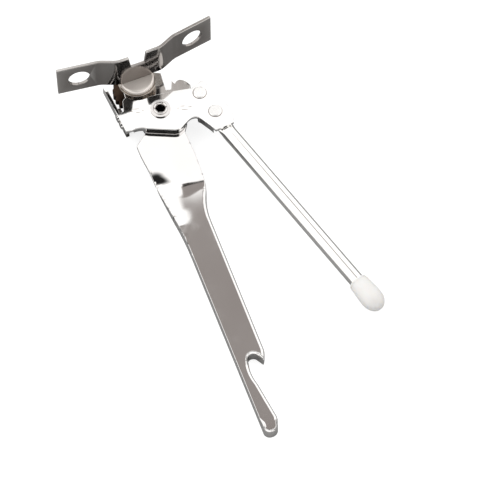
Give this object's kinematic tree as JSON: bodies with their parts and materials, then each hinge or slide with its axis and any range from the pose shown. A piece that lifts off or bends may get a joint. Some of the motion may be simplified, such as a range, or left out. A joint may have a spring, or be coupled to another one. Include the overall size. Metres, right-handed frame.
{
  "type": "manual can opener",
  "caption": "Butterfly can opener with a flat grip ending in a bottle notch, a rod handle with a plastic cap, a winged key and a serrated feed wheel.",
  "frame": {"origin": "on the axis of the hollow pivot rivet, level with the top face of the flat handle's head plate", "axes": "+Z along the pivot, towards the key; the flat handle runs along -Y; +X towards the rod handle"},
  "size_m": [0.1041, 0.1824, 0.0313],
  "materials": {
    "flat_handle_steel": "bright nickel-chrome plate on stamped steel",
    "front_plate_steel": "bright nickel-chrome plate on stamped steel",
    "rod_chrome": "bright chrome-plated drawn tube",
    "cap_plastic": "ivory moulded polyethylene",
    "rivet_steel": "plated steel",
    "eyelet_steel": "plated steel, crimped",
    "washer_steel": "zinc-plated steel",
    "shaft_steel": "turned, nickel-plated steel",
    "key_steel": "polished nickel-plated strip",
    "wheel_steel": "hardened steel, oil-blackened",
    "blade_steel": "hardened steel, ground edge"
  },
  "bodies": {
    "flat_frame": {"flat_handle": "flat_handle_steel", "pivot_rivet": "eyelet_steel", "pivot_washer": "eyelet_steel", "pivot_spacer": "washer_steel", "shaft_bush": "washer_steel"},
    "swing_handle": {"front_plate": "front_plate_steel", "rod_handle": "rod_chrome", "rod_cap": "cap_plastic", "handle_rivets": "rivet_steel", "cutter_blade": "blade_steel", "blade_rivets": "rivet_steel"},
    "key_shaft": {"drive_shaft": "shaft_steel", "butterfly_key": "key_steel", "head_washer": "washer_steel", "wheel_ring": "washer_steel", "feed_wheel": "wheel_steel", "retaining_washer": "washer_steel"}
  },
  "joints": [
    {"name": "handle_pivot", "type": "hinge", "parent": "flat_frame", "child": "swing_handle", "pos_m": [0, 0, 0], "axis": [0, 0, 1], "range_deg": [-12, 22]},
    {"name": "key_spin", "type": "hinge", "parent": "flat_frame", "child": "key_shaft", "pos_m": [-0.00605, 0.01587, 0], "axis": [0, 0, 1], "continuous": true}
  ]
}
